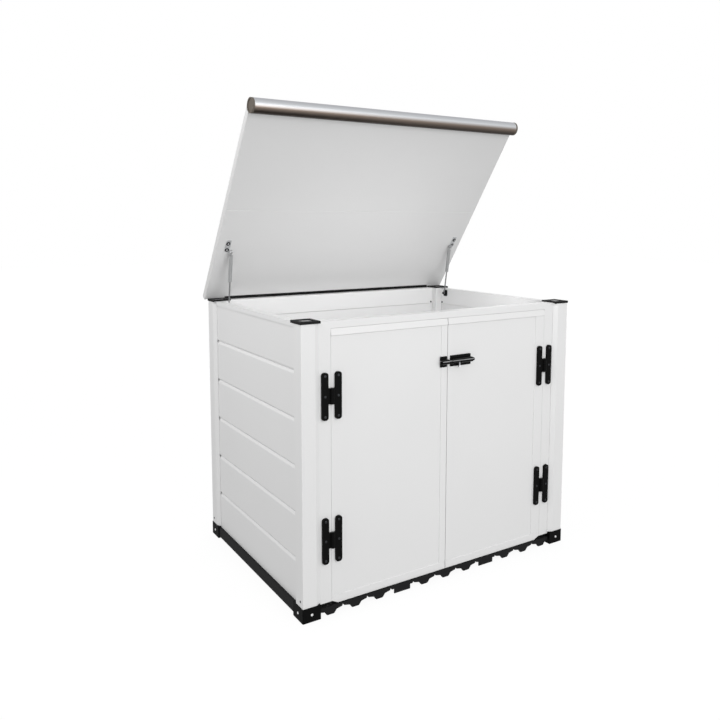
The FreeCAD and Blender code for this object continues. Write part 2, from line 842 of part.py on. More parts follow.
def bolt_sleeve(x0, length, height, bore, thickness):
    """Plate on a door with a half-round sleeve along it that the bolt slides in."""
    z0 = bolt_z - height / 2.0
    plate = block(x0, x0 + length, door_face - thickness, door_face, z0, z0 + height)
    corners = edges_along(plate, Y_AXIS, lambda point: True)
    plate = plate.makeFillet(bolt_plate_round, corners)
    sleeve = Part.makeCylinder(bolt_sleeve_radius, length, at(x0, bolt_y, bolt_z), X_AXIS)
    saddle = block(
        x0,
        x0 + length,
        bolt_y,
        door_face - thickness,
        bolt_z - bolt_sleeve_radius,
        bolt_z + bolt_sleeve_radius,
    )
    hole = Part.makeCylinder(bore, length, at(x0, bolt_y, bolt_z), X_AXIS)
    return plate.fuse(sleeve).fuse(saddle).cut(hole)


def bolt_plate():
    """Base plate of the bolt; a window under its sleeve lets the knob travel."""
    bore = bolt_rod_radius + bolt_rod_clearance
    plate = bolt_sleeve(bolt_plate_start, bolt_plate_length, bolt_plate_height, bore, bolt_plate_thickness)
    neck_room = bolt_knob_neck_radius + bolt_window_clearance
    window_start = bolt_knob_x - bolt_travel - neck_room
    window_end = bolt_knob_x + neck_room
    window = block(
        window_start,
        window_end,
        bolt_y - 2.0 * bolt_sleeve_radius,
        door_face - bolt_plate_thickness,
        bolt_z - bolt_sleeve_radius,
        bolt_z,
    )
    return solid_of(plate.cut(window))


def bolt_keeper():
    bore = bolt_rod_radius + keeper_bore_clearance
    start = -keeper_start - keeper_length
    return solid_of(bolt_sleeve(start, keeper_length, keeper_height, bore, bolt_plate_thickness))


def bolt_rod():
    """Round bolt, drawn back clear of the left door."""
    rod = Part.makeCylinder(bolt_rod_radius, bolt_rod_length, at(bolt_parked_nose, bolt_y, bolt_z), X_AXIS)
    ends = [edge for edge in rod.Edges if edge.Curve.TypeId == "Part::GeomCircle"]
    return solid_of(rod.makeChamfer(bolt_rod_chamfer, ends))


def bolt_knob():
    """Flared knob that hangs under the bolt, turned about its own upright axis."""
    foot_z = -bolt_rod_radius - bolt_knob_length
    outline = [
        at(0, 0, 0),
        at(bolt_knob_neck_radius, 0, 0),
        at(bolt_knob_neck_radius, 0, foot_z + bolt_knob_flare),
        at(bolt_knob_radius, 0, foot_z),
        at(0, 0, foot_z),
    ]
    knob = flat(outline).revolve(ORIGIN, Z_AXIS, 360.0)
    knob.translate(at(bolt_knob_x, bolt_y, bolt_z))
    return solid_of(knob.cut(bolt_rod()))


def opened(shape):
    """Turn a piece of the shut lid to its resting place, open on its struts."""
    turned = shape.copy()
    turned.rotate(at(0, lid_axis_y, lid_axis_z), X_AXIS, -lid_open_angle)
    return turned


def lid_board(front, back, bevel_front, bevel_back):
    """Hollow lid board between two distances ahead of the hinge axis, cells along its length."""
    x0 = -lid_half_width + lid_edge_width
    y0 = lid_axis_y - front
    y1 = lid_axis_y - back
    z0 = lid_under
    z1 = lid_under + lid_thickness
    section = flat([
        at(x0, y0 + bevel_front, z0),
        at(x0, y0, z0 + bevel_front),
        at(x0, y0, z1 - bevel_front),
        at(x0, y0 + bevel_front, z1),
        at(x0, y1 - bevel_back, z1),
        at(x0, y1, z1 - bevel_back),
        at(x0, y1, z0 + bevel_back),
        at(x0, y1 - bevel_back, z0),
    ])
    cell_depth = (y1 - y0 - (lid_cells + 1) * lid_skin) / lid_cells
    for index in range(lid_cells):
        start = y0 + lid_skin + index * (cell_depth + lid_skin)
        section = section.cut(rectangle_yz(start, start + cell_depth, z0 + lid_skin, z1 - lid_skin, x0))
    return opened(drawn(section, at(-2.0 * x0, 0, 0)))


def lid_rear_board():
    back = lid_rear_trim - lid_rear_overhang
    return lid_board(lid_seam_reach, back, lid_seam_bevel, lid_end_bevel)


def lid_front_board():
    return lid_board(lid_front_reach, lid_seam_reach, lid_end_bevel, lid_seam_bevel)


def lid_rear_edge():
    """Rounded strip that closes the rear edge of the lid."""
    y1 = lid_axis_y + lid_rear_overhang
    strip = block(
        -lid_half_width + lid_edge_width,
        lid_half_width - lid_edge_width,
        y1 - lid_rear_trim,
        y1,
        lid_under,
        lid_under + lid_thickness,
    )

    def is_rear_corner(point):
        return abs(point.y - y1) < same_place

    strip = strip.makeFillet(lid_edge_round, edges_along(strip, X_AXIS, is_rear_corner))
    return opened(solid_of(strip))


def bar_cylinder(radius, x0, length):
    """Round piece of the shut lid's front bar."""
    return Part.makeCylinder(radius, length, at(x0, lid_axis_y - bar_reach, bar_z), X_AXIS)


def lid_left_edge():
    """Rounded strip that closes the left ends of the lid boards, hollowed in front for the bar's plug."""
    x0 = -lid_half_width
    y0 = lid_axis_y - bar_reach + lid_edge_setback
    y1 = lid_axis_y + lid_rear_overhang
    strip = block(x0, x0 + lid_edge_width, y0, y1, lid_under, lid_under + lid_thickness)

    def is_outer_corner(point):
        return abs(point.x - x0) < same_place

    strip = strip.makeFillet(lid_edge_round, edges_along(strip, Y_AXIS, is_outer_corner))
    plug_room = bar_cylinder(bar_radius + bar_slot_clearance, x0, lid_edge_width)
    return opened(solid_of(strip.cut(plug_room)))


def lid_bar():
    """Round tube along the front of the lid, cut away behind so that it closes over the front board."""
    half_length = lid_half_width - lid_edge_width
    tube = bar_cylinder(bar_radius, -half_length, 2.0 * half_length)
    bore = bar_cylinder(bar_radius - bar_wall, -half_length, 2.0 * half_length)
    middle = lid_axis_y - bar_reach
    board_room = block(
        -half_length,
        half_length,
        middle,
        middle + bar_radius,
        lid_under - bar_slot_clearance,
        lid_under + lid_thickness,
    )
    return opened(solid_of(tube.cut(bore).cut(board_room)))


def lid_bar_left_end():
    """Round plug on the left end of the bar, flush with the side of the lid and sunk inside its border."""
    plug = bar_cylinder(bar_radius, -lid_half_width, lid_edge_width)
    sunk = bar_cylinder(bar_radius - bar_end_border, -lid_half_width, bar_end_depth)
    return opened(solid_of(plug.cut(sunk)))


def piano_knuckles(is_upper):
    """Every second knuckle of the lid hinge, shut."""
    start = -post_inner_x + piano_end_clearance
    pitch = -2.0 * start / piano_knuckle_count
    first = 1 if is_upper else 0
    knuckles = []
    for index in range(first, piano_knuckle_count, 2):
        low = start + index * pitch + piano_knuckle_gap / 2.0
        centre = at(low, lid_axis_y, lid_axis_z)
        knuckles.append(Part.makeCylinder(piano_knuckle_radius, pitch - piano_knuckle_gap, centre, X_AXIS))
    return knuckles


def piano_bore(is_upper):
    """Hole for the hinge pin, and the notches that the other leaf's knuckles turn in."""
    half_length = post_inner_x - piano_end_clearance
    centre = at(-half_length, lid_axis_y, lid_axis_z)
    hole = Part.makeCylinder(piano_pin_radius + piano_pin_clearance, 2.0 * half_length, centre, X_AXIS)
    cuts = [hole]
    for knuckle in piano_knuckles(not is_upper):
        box = knuckle.BoundBox
        radius = piano_knuckle_radius + piano_knuckle_gap
        start = at(box.XMin - piano_knuckle_gap, lid_axis_y, lid_axis_z)
        cuts.append(Part.makeCylinder(radius, box.XLength + 2.0 * piano_knuckle_gap, start, X_AXIS))
    return cuts


def piano_lower_leaf():
    """Leaf of the lid hinge on the back of the rear rail."""
    half_length = post_inner_x - piano_end_clearance
    leaf = block(
        -half_length,
        half_length,
        half_depth,
        half_depth + piano_leaf_thickness,
        lid_axis_z - piano_lower_leaf_width,
        lid_axis_z,
    )
    for knuckle in piano_knuckles(False):
        leaf = leaf.fuse(knuckle)
    for cutter in piano_bore(False):
        leaf = leaf.cut(cutter)
    return solid_of(leaf)


def piano_upper_leaf():
    """Leaf of the lid hinge under the rear of the lid."""
    half_length = post_inner_x - piano_end_clearance
    leaf = block(
        -half_length,
        half_length,
        lid_axis_y - piano_upper_leaf_width,
        lid_axis_y,
        lid_under - piano_leaf_thickness,
        lid_under,
    )
    for knuckle in piano_knuckles(True):
        leaf = leaf.fuse(knuckle)
    for cutter in piano_bore(True):
        leaf = leaf.cut(cutter)
    return opened(solid_of(leaf))


def piano_pin():
    half_length = post_inner_x - piano_end_clearance
    start = at(-half_length, lid_axis_y, lid_axis_z)
    return Part.makeCylinder(piano_pin_radius, 2.0 * half_length, start, X_AXIS)


def strut_lid_pivot(open_angle):
    """Place of a strut's upper pivot at a lid angle, in the plane of the strut."""
    pivot = Part.Vertex(strut_x, lid_axis_y - strut_lid_reach, lid_under - strut_lid_drop)
    pivot.rotate(at(0, lid_axis_y, lid_axis_z), X_AXIS, -open_angle)
    return pivot.Point


def strut_wall_pivot():
    return at(strut_x, strut_wall_back, strut_wall_z)


def strut_line():
    """Lower pivot of the right strut, with the direction and length of the strut when the lid is open."""
    lower = strut_wall_pivot()
    run = strut_lid_pivot(lid_open_angle) - lower
    length = run.Length
    return lower, run.normalize(), length


def strut_cylinder_length():
    """Longest cylinder that still lets the strut shorten until the lid is shut."""
    shut_length = (strut_lid_pivot(0.0) - strut_wall_pivot()).Length
    return shut_length - 2.0 * strut_fitting_length - strut_spare_stroke


def right_strut_cylinder():
    """Gas cylinder with its gland bore below, and its upper eye and stud."""
    lower, direction, open_length = strut_line()
    length = strut_cylinder_length()
    foot_of_tube = lower + direction * (open_length - strut_fitting_length - length)
    tube = Part.makeCylinder(strut_cylinder_radius, length, foot_of_tube, direction)
    gland = Part.makeCylinder(
        strut_rod_radius + strut_gland_clearance, strut_gland_length, foot_of_tube, direction
    )
    chamber = Part.makeCylinder(
        strut_cylinder_radius - strut_cylinder_wall,
        length - strut_gland_length - strut_end_wall,
        foot_of_tube + direction * strut_gland_length,
        direction,
    )
    tube = tube.cut(gland).cut(chamber)
    upper = lower + direction * open_length
    eye_start = upper - X_AXIS * (strut_eye_width / 2.0)
    eye = Part.makeCylinder(strut_eye_radius, strut_eye_width, eye_start, X_AXIS)
    neck = Part.makeCylinder(strut_rod_radius, strut_fitting_length, upper, direction * -1.0)
    stud_length = lid_bracket_ear_gap - open_pivot_gap
    stud = Part.makeCylinder(stud_radius, stud_length, upper, X_AXIS)
    return solid_of(tube.fuse(eye).fuse(neck).fuse(stud))


def right_strut_rod():
    """Piston rod with its piston in the cylinder and its eye on the wall stud."""
    lower, direction, open_length = strut_line()
    tube_start = open_length - strut_fitting_length - strut_cylinder_length()
    piston_start = tube_start + strut_gland_length + strut_piston_clearance
    reach = piston_start + strut_piston_length
    rod_start = stud_radius + stud_clearance
    rod = Part.makeCylinder(strut_rod_radius, reach - rod_start, lower + direction * rod_start, direction)
    piston_radius = strut_cylinder_radius - strut_cylinder_wall - strut_piston_clearance
    piston = Part.makeCylinder(
        piston_radius, strut_piston_length, lower + direction * piston_start, direction
    )
    eye_start = lower - X_AXIS * (strut_eye_width / 2.0)
    eye = Part.makeCylinder(strut_eye_radius, strut_eye_width, eye_start, X_AXIS)
    hole = Part.makeCylinder(stud_radius + stud_clearance, strut_eye_width, eye_start, X_AXIS)
    return solid_of(rod.fuse(piston).fuse(eye).cut(hole))


def right_strut_wall_bracket():
    """Plate on the inner leg of the side rail with a headed stud for the strut's lower eye."""
    wall = half_width - reveal + slot_clearance - wall_slot - rail_wall
    y0 = strut_wall_back - wall_bracket_width / 2.0
    z0 = strut_wall_z - wall_bracket_height / 2.0
    plate = block(wall - bracket_thickness, wall, y0, y0 + wall_bracket_width, z0, z0 + wall_bracket_height)
    plate = plate.makeFillet(wall_bracket_round, edges_along(plate, X_AXIS, lambda point: True))
    head_far = strut_x - strut_eye_width / 2.0 - stud_side_gap
    stud_start = at(head_far, strut_wall_back, strut_wall_z)
    stud = Part.makeCylinder(stud_radius, wall - head_far, stud_start, X_AXIS)
    head_start = at(head_far - stud_head_width, strut_wall_back, strut_wall_z)
    head = Part.makeCylinder(stud_head_radius, stud_head_width, head_start, X_AXIS)
    return solid_of(plate.fuse(stud).fuse(head))


def right_strut_lid_bracket():
    """Plate screwed under the lid, with an ear beside the strut's upper eye."""
    y = lid_axis_y - strut_lid_reach
    ear_x = strut_x + lid_bracket_ear_gap
    pivot_z = lid_under - strut_lid_drop
    base = block(
        ear_x,
        ear_x + lid_bracket_width,
        y + lid_bracket_tail - lid_bracket_length,
        y + lid_bracket_tail,
        lid_under - bracket_thickness,
        lid_under,
    )
    half_ear = lid_bracket_ear_width / 2.0
    ear = block(ear_x, ear_x + bracket_thickness, y - half_ear, y + half_ear, pivot_z, lid_under)
    tip = Part.makeCylinder(half_ear, bracket_thickness, at(ear_x, y, pivot_z), X_AXIS)
    return opened(solid_of(base.fuse(ear).fuse(tip)))


def both_sides(name, shape, drawn_side):
    """A piece and its mirror image, named for the sides that they are on."""
    other_side = "right" if drawn_side == "left" else "left"
    return {
        name.replace("SIDE", drawn_side): shape,
        name.replace("SIDE", other_side): mirrored(shape),
    }


def pieces():
    made = {}
    for corner, post in four_corners(corner_post()).items():
        made["post_" + corner] = post
    for corner, shoe in four_corners(foot()).items():
        made["foot_" + corner] = shoe
    made["post_caps"] = Part.makeCompound(list(four_corners(cap()).values()))
    made.update(both_sides("SIDE_wall_boards", left_wall(), "left"))
    made["rear_wall_boards"] = rear_wall()
    made.update(both_sides("base_rail_SIDE", left_base_rail(), "left"))
    made["base_rail_rear"] = rear_base_rail()
    made.update(both_sides("top_rail_SIDE", left_top_rail(), "left"))
    made["top_rail_rear"] = rear_top_rail()
    made["top_rail_front"] = front_top_rail()
    made["floor_ribbed_planks"] = floor_planks(False)
    made["floor_runner_planks"] = floor_planks(True)
    made.update(both_sides("door_jamb_SIDE", left_jamb(), "left"))
    made.update(both_sides("SIDE_door_panel", left_door_panel(), "left"))
    made.update(both_sides("SIDE_door_rails", left_door_rails(), "left"))
    made.update(both_sides("SIDE_door_stiles", left_door_stiles(), "left"))
    made.update(both_sides("SIDE_hinge_jamb_leaves", left_hinge_leaves(-1), "left"))
    made.update(both_sides("SIDE_hinge_door_leaves", left_hinge_leaves(1), "left"))
    made.update(both_sides("SIDE_hinge_pins", left_hinge_pins(), "left"))
    made["bolt_plate"] = bolt_plate()
    made["bolt_keeper"] = bolt_keeper()
    made["bolt_rod"] = bolt_rod()
    made["bolt_knob"] = bolt_knob()
    made["lid_rear_board"] = lid_rear_board()
    made["lid_front_board"] = lid_front_board()
    made["lid_rear_edge"] = lid_rear_edge()
    made.update(both_sides("lid_edge_SIDE", lid_left_edge(), "left"))
    made["lid_bar"] = lid_bar()
    made.update(both_sides("lid_bar_end_SIDE", lid_bar_left_end(), "left"))
    made["lid_hinge_lower_leaf"] = piano_lower_leaf()
    made["lid_hinge_upper_leaf"] = piano_upper_leaf()
    made["lid_hinge_pin"] = piano_pin()
    made.update(both_sides("SIDE_strut_cylinder", right_strut_cylinder(), "right"))
    made.update(both_sides("SIDE_strut_rod", right_strut_rod(), "right"))
    made.update(both_sides("SIDE_strut_wall_bracket", right_strut_wall_bracket(), "right"))
    made.update(both_sides("SIDE_strut_lid_bracket", right_strut_lid_bracket(), "right"))
    return made


os.makedirs("parts", exist_ok=True)
for node, shape in pieces().items():
    shape.exportStep("parts/" + node + ".step")
    print(node, len(shape.Solids), round(shape.Volume), shape.isValid())
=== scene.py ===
"""Looks of a garden storage cabinet: white PVC walls and doors, black hardware and an aluminium lid bar.

Every place is in metres, in the same frame as the solids: x to the right, y to the back, z up.
"""
import json
import math

import bpy
from mathutils import Matrix, Vector


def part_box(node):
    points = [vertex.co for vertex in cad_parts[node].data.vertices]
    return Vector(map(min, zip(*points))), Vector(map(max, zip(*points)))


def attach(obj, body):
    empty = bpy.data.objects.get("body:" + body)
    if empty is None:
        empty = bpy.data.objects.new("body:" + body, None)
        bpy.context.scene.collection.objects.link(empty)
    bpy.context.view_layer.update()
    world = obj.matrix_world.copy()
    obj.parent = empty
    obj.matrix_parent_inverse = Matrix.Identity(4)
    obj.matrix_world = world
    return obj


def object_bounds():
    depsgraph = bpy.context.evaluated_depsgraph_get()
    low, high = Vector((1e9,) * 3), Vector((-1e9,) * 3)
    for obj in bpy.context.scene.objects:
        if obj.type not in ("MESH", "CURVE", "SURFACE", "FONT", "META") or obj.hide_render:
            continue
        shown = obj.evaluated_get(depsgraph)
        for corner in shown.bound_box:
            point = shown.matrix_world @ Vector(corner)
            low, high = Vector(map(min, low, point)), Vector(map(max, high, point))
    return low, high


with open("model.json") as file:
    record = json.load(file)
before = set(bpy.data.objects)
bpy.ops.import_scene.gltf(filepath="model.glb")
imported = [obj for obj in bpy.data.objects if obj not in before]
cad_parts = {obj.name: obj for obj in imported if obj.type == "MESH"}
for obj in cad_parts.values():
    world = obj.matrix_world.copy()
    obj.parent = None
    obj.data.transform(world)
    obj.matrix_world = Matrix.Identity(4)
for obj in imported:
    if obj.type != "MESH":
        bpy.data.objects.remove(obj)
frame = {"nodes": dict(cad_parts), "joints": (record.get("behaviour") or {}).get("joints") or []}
cad_low, cad_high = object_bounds()
nodes = frame["nodes"]
joints = {joint["name"]: joint for joint in frame["joints"]}
lid_joint = joints["lid_hinge"]
lid_angle = math.radians(lid_joint["range_deg"][0])

# Camera that took the photograph, solved from the corners of the cabinet
CAMERA_PLACE = (-1.6524, -2.4707, 1.3409)
CAMERA_AZIMUTH = -31.75
CAMERA_ELEVATION = 5.81
CAMERA_LENS = 36.06  # millimetres, as the next one
CAMERA_SENSOR = 36.0
CAMERA_SHIFT = -0.0903

# Studio light: soft boxes in front, on the left and behind, a card inside the cabinet, and a white room
FRONT_LIGHT_PLACE = (0.0, -3.4, 1.7)
FRONT_LIGHT_WIDTH = 2.4
FRONT_LIGHT_WATTS = 48.5
LEFT_LIGHT_PLACE = (-2.25, -0.3, 2.5)
LEFT_LIGHT_WIDTH = 1.2
LEFT_LIGHT_WATTS = 22.5
BACK_LIGHT_PLACE = (2.6, 2.4, 2.6)
BACK_LIGHT_WIDTH = 1.6
BACK_LIGHT_WATTS = 11.0
LIGHT_AIM = (0.0, 0.0, 0.75)
INSIDE_LIGHT_PLACE = (-0.05, -0.30, 0.95)
INSIDE_LIGHT_SIZE = (0.98, 0.10)
INSIDE_LIGHT_AIM = (-0.05, 0.30, 1.15)
INSIDE_LIGHT_WATTS = 1.85
ROOM_LIGHT_ABOVE = 0.68
ROOM_LIGHT_BELOW = 0.50
ROOM_HORIZON = 0.15  # rise over which the room's light goes from below to above, either way
FLOOR_GLOW = 0.93
FLOOR_SIZE = 40.0

# H hinges
LEAF_WIDTH = 0.0244
LEAF_HEIGHT = 0.1615
LEAF_THICKNESS = 0.008
HINGE_SCREW_SPREAD = 0.069
HINGE_SCREW_RADIUS = 0.0046

# Bolt and keeper
BOLT_SCREW_RADIUS = 0.0034
BOLT_SCREW_FROM_END = 0.009
BOLT_SCREW_FROM_MIDDLE = 0.0148
BOLT_PLATE_THICKNESS = 0.003
HIGHLIGHT_RISE = 0.0028  # of the painted highlight along the crest, above the bolt's centre line
HIGHLIGHT_HALF_WIDTH = 0.0018
HIGHLIGHT_FULL_SHARE = 0.4  # of the half width where the painted highlight is at full strength

# Strut brackets
BRACKET_SCREW_RADIUS = 0.0036
LID_SCREW_RADIUS = 0.0038
# Black discs under the lid screws are painted shade: a dark ring where each head casts its shadow
SHADOW_RING_RADIUS = 0.0087
SHADOW_RING_HEIGHT = 0.0016
WALL_BRACKET_SCREW_STEP = (0.0, 0.0085, 0.0095)  # from the middle of the plate to a screw
LID_BRACKET_SCREW_SHARES = (0.22, 0.73)  # along the plate
BRACKET_PLATE = 0.0025  # thickness

# Screws in the posts and in the inner legs of the top rails
POST_SCREW_RADIUS = 0.0042
POST_SCREW_HEIGHT = 0.071
POST_SCREW_FROM_CORNER = 0.019
RAIL_SCREW_RADIUS = 0.0045
RAIL_SCREW_RISE = 0.0085  # above the lower edge of the inner leg
RAIL_SCREW_FROM_END = 0.010

# Caps of the posts
CAP_MIDDLE_SUNK = 0.0015  # depth of the middle under the border
CAP_MIDDLE_SLACK = 0.0004  # height either way that still counts as the middle

# Heads and plugs
HEAD_HEIGHT_SHARE = 0.32  # height of a screw head's dome as a share of its radius
HEAD_SUNK = 0.0004  # depth that a head is let into what it holds
HEAD_CORNERS = 24
HEAD_ROUNDING_SHARE = 0.8  # of a head's height that its rim is rounded over
HEAD_ROUNDING_STEPS = 4
CROSS_LENGTH_SHARE = 1.1  # of a head's radius
CROSS_WIDTH_SHARE = 0.26
SMOOTH_ANGLE = 35.0
SAME_HEIGHT = 1e-6
PLUG_RADIUS = 0.0047
PLUG_HEIGHT = 0.0020
ANCHOR_HOLE_HEIGHT = 0.025

# Ways that heads and plugs face, and what belongs to each side
FRONT = (0, -1, 0)
LEFT = (-1, 0, 0)
RIGHT = (1, 0, 0)
BACK = (0, 1, 0)
BODY_OF_SIDE = {"left": "left_door", "right": "right_door"}
SIDE_SIGNS = {"left": -1.0, "right": 1.0}
OUTWARD = {"left": LEFT, "right": RIGHT}
INWARD = {"left": RIGHT, "right": LEFT}


def linear(hex_colour):
    """Linear colour of an sRGB hex value."""
    channels = []
    for start in (1, 3, 5):
        value = int(hex_colour[start:start + 2], 16) / 255.0
        channels.append(value / 12.92 if value <= 0.04045 else ((value + 0.055) / 1.055) ** 2.4)
    return (*channels, 1.0)


def add_node(tree, kind, inputs=None, **settings):
    """Add a node; an input, by name or number, takes a value, or another node's output to be linked."""
    node = tree.nodes.new(kind)
    for name, value in settings.items():
        setattr(node, name, value)
    for name, value in (inputs or {}).items():
        if isinstance(value, bpy.types.NodeSocket):
            tree.links.new(value, node.inputs[name])
        else:
            node.inputs[name].default_value = value
    return node


def new_material(name):
    """A material with its node tree, its shader, and the Object coordinates that its patterns read."""
    material = bpy.data.materials.new(name)
    material.use_nodes = True
    tree = material.node_tree
    place = add_node(tree, "ShaderNodeTexCoord").outputs["Object"]
    return material, tree, tree.nodes["Principled BSDF"], place


def per_metre(millimetres):
    """Texture scale that repeats a pattern once in so many millimetres."""
    return 1000.0 / millimetres


def extruded_pvc(name, light, dark, run, slope=0.0):
    """Rigid PVC drawn through a die: even, satin, with faint lines along the way that it was drawn."""
    material, tree, shader, place = new_material(name)
    # Clouds in the compound are about 320 mm across
    cloud = add_node(
        tree, "ShaderNodeTexNoise", {"Vector": place, "Scale": per_metre(320.0), "Detail": 3.0}
    )
    tint = add_node(
        tree,
        "ShaderNodeMix",
        {"Factor": cloud.outputs["Fac"], "A": linear(light), "B": linear(dark)},
        data_type="RGBA",
    )
    tree.links.new(tint.outputs["Result"], shader.inputs["Base Color"])
    level = add_node(
        tree, "ShaderNodeVectorRotate", {"Vector": place, "Angle": slope}, rotation_type="X_AXIS"
    )
    # Die lines are about 6 mm apart and run on for more than a metre
    stretch = [per_metre(6.0)] * 3
    stretch["XYZ".index(run)] = per_metre(1500.0)
    along = add_node(tree, "ShaderNodeMapping", {"Vector": level.outputs["Vector"], "Scale": stretch})
    lines = add_node(
        tree,
        "ShaderNodeTexNoise",
        {"Vector": along.outputs["Vector"], "Scale": 1.0, "Detail": 2.0},
    )
    gloss = add_node(
        tree,
        "ShaderNodeMapRange",
        {"Value": lines.outputs["Fac"], "To Min": 0.30, "To Max": 0.42},
    )
    tree.links.new(gloss.outputs["Result"], shader.inputs["Roughness"])
    bump = add_node(
        tree,
        "ShaderNodeBump",
        {"Height": lines.outputs["Fac"], "Strength": 0.06, "Distance": 0.0006},
    )
    tree.links.new(bump.outputs["Normal"], shader.inputs["Normal"])
    shader.inputs["IOR"].default_value = 1.53
    return material


def moulded_nylon(name, dark, light):
    """Glass-filled nylon, injection moulded: dull, with a fine spark-eroded grain and a low sheen."""
    material, tree, shader, place = new_material(name)
    # Real grain is about 0.5 mm; it is drawn at 2.5 mm so that it shows
    grain = add_node(tree, "ShaderNodeTexNoise", {"Vector": place, "Scale": per_metre(2.5), "Detail": 4.0})
    tint = add_node(
        tree,
        "ShaderNodeMix",
        {"Factor": grain.outputs["Fac"], "A": linear(dark), "B": linear(light)},
        data_type="RGBA",
    )
    tree.links.new(tint.outputs["Result"], shader.inputs["Base Color"])
    gloss = add_node(
        tree, "ShaderNodeMapRange", {"Value": grain.outputs["Fac"], "To Min": 0.46, "To Max": 0.62}
    )
    tree.links.new(gloss.outputs["Result"], shader.inputs["Roughness"])
    bump = add_node(
        tree, "ShaderNodeBump", {"Height": grain.outputs["Fac"], "Strength": 0.18, "Distance": 0.0004}
    )
    tree.links.new(bump.outputs["Normal"], shader.inputs["Normal"])
    shader.inputs["IOR"].default_value = 1.53
    shader.inputs["Specular IOR Level"].default_value = 0.08
    return material


def polished_cap_nylon():
    """The same black nylon on the post caps: grained round the border, polished in the sunk middle."""
    material, tree, shader, place = new_material("black_nylon_polished_in_the_middle")
    # Grain as on the other nylon
    grain = add_node(tree, "ShaderNodeTexNoise", {"Vector": place, "Scale": per_metre(2.5), "Detail": 4.0})
    tint = add_node(
        tree,
        "ShaderNodeMix",
        {"Factor": grain.outputs["Fac"], "A": linear("#070707"), "B": linear("#101011")},
        data_type="RGBA",
    )
    tree.links.new(tint.outputs["Result"], shader.inputs["Base Color"])
    # Height alone tells the sunk middle from the border, and from all but a thin line on the sides
    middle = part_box("post_caps")[1].z - CAP_MIDDLE_SUNK
    parts = add_node(tree, "ShaderNodeSeparateXYZ", {"Vector": place})
    polished = add_node(
        tree,
        "ShaderNodeMath",
        {0: parts.outputs["Z"], 1: middle, 2: CAP_MIDDLE_SLACK},
        operation="COMPARE",
    )
    gloss = add_node(
        tree, "ShaderNodeMapRange", {"Value": polished.outputs["Value"], "To Min": 0.62, "To Max": 0.07}
    )
    tree.links.new(gloss.outputs["Result"], shader.inputs["Roughness"])
    shader.inputs["IOR"].default_value = 1.53
    shader.inputs["Specular IOR Level"].default_value = 0.22
    return material


def black_powder_coat():
    """Steel with a black polyester powder coat: satin and slightly wavy, paler on its high spots."""
    material, tree, shader, place = new_material("black_powder_coated_steel")
    # The waves of the coat are about 4 mm across
    peel = add_node(
        tree, "ShaderNodeTexNoise", {"Vector": place, "Scale": per_metre(4.0), "Detail": 2.0}
    )
    tint = add_node(
        tree,
        "ShaderNodeMix",
        {"Factor": peel.outputs["Fac"], "A": linear("#040404"), "B": linear("#0a0a0b")},
        data_type="RGBA",
    )
    tree.links.new(tint.outputs["Result"], shader.inputs["Base Color"])
    bump = add_node(
        tree, "ShaderNodeBump", {"Height": peel.outputs["Fac"], "Strength": 0.15, "Distance": 0.0005}
    )
    tree.links.new(bump.outputs["Normal"], shader.inputs["Normal"])
    shader.inputs["Roughness"].default_value = 0.28
    shader.inputs["IOR"].default_value = 1.5
    shader.inputs["Specular IOR Level"].default_value = 0.20
    return material


def black_coat_with_painted_highlight():
    """Black coat on the bolt, with a painted highlight of bright steel colour along the crest of the rod
    and its sleeve.
    """
    material, tree, shader, place = new_material("black_coat_rubbed_to_steel")
    low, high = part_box("bolt_plate")
    centre_line = (low.z + high.z) / 2.0
    parts = add_node(tree, "ShaderNodeSeparateXYZ", {"Vector": place})
    from_crest = add_node(
        tree, "ShaderNodeMath", {0: parts.outputs["Z"], 1: centre_line + HIGHLIGHT_RISE}, operation="SUBTRACT"
    )
    distance = add_node(tree, "ShaderNodeMath", {0: from_crest.outputs["Value"]}, operation="ABSOLUTE")
    highlight_band = add_node(
        tree,
        "ShaderNodeMapRange",
        {
            "Value": distance.outputs["Value"],
            "From Min": HIGHLIGHT_HALF_WIDTH * HIGHLIGHT_FULL_SHARE,
            "From Max": HIGHLIGHT_HALF_WIDTH,
            "To Min": 1.0,
            "To Max": 0.0,
        },
    )
    # The painted highlight is broken into streaks about 2 mm wide and 40 mm long, along the way that the
    # bolt slides
    stretch = (per_metre(40.0), per_metre(2.0), per_metre(2.0))
    along = add_node(tree, "ShaderNodeMapping", {"Vector": place, "Scale": stretch})
    highlight_streaks = add_node(
        tree, "ShaderNodeTexNoise", {"Vector": along.outputs["Vector"], "Scale": 1.0, "Detail": 3.0}
    )
    highlight_share = add_node(
        tree,
        "ShaderNodeMath",
        {0: highlight_band.outputs["Result"], 1: highlight_streaks.outputs["Fac"]},
        operation="MULTIPLY",
    )
    # Black coat, turning to bright steel colour where the painted highlight lies
    tint = add_node(
        tree,
        "ShaderNodeMix",
        {"Factor": highlight_share.outputs["Value"], "A": linear("#050505"), "B": linear("#d8d8da")},
        data_type="RGBA",
    )
    tree.links.new(tint.outputs["Result"], shader.inputs["Base Color"])
    tree.links.new(highlight_share.outputs["Value"], shader.inputs["Metallic"])
    shader.inputs["Roughness"].default_value = 0.30
    shader.inputs["Specular IOR Level"].default_value = 0.15
    return material


def dull_zinc():
    """Zinc-plated screws gone dull out of doors: grey, with darker patches of oxide."""
    material, tree, shader, place = new_material("dull_zinc_screws")
    # Patches of oxide are about 3 mm across
    oxide = add_node(tree, "ShaderNodeTexNoise", {"Vector": place, "Scale": per_metre(3.0), "Detail": 3.0})
    tint = add_node(
        tree,
        "ShaderNodeMix",
        {"Factor": oxide.outputs["Fac"], "A": linear("#595a5d"), "B": linear("#323336")},
        data_type="RGBA",
    )
    tree.links.new(tint.outputs["Result"], shader.inputs["Base Color"])
    shader.inputs["Metallic"].default_value = 1.0
    shader.inputs["Roughness"].default_value = 0.42
    return material


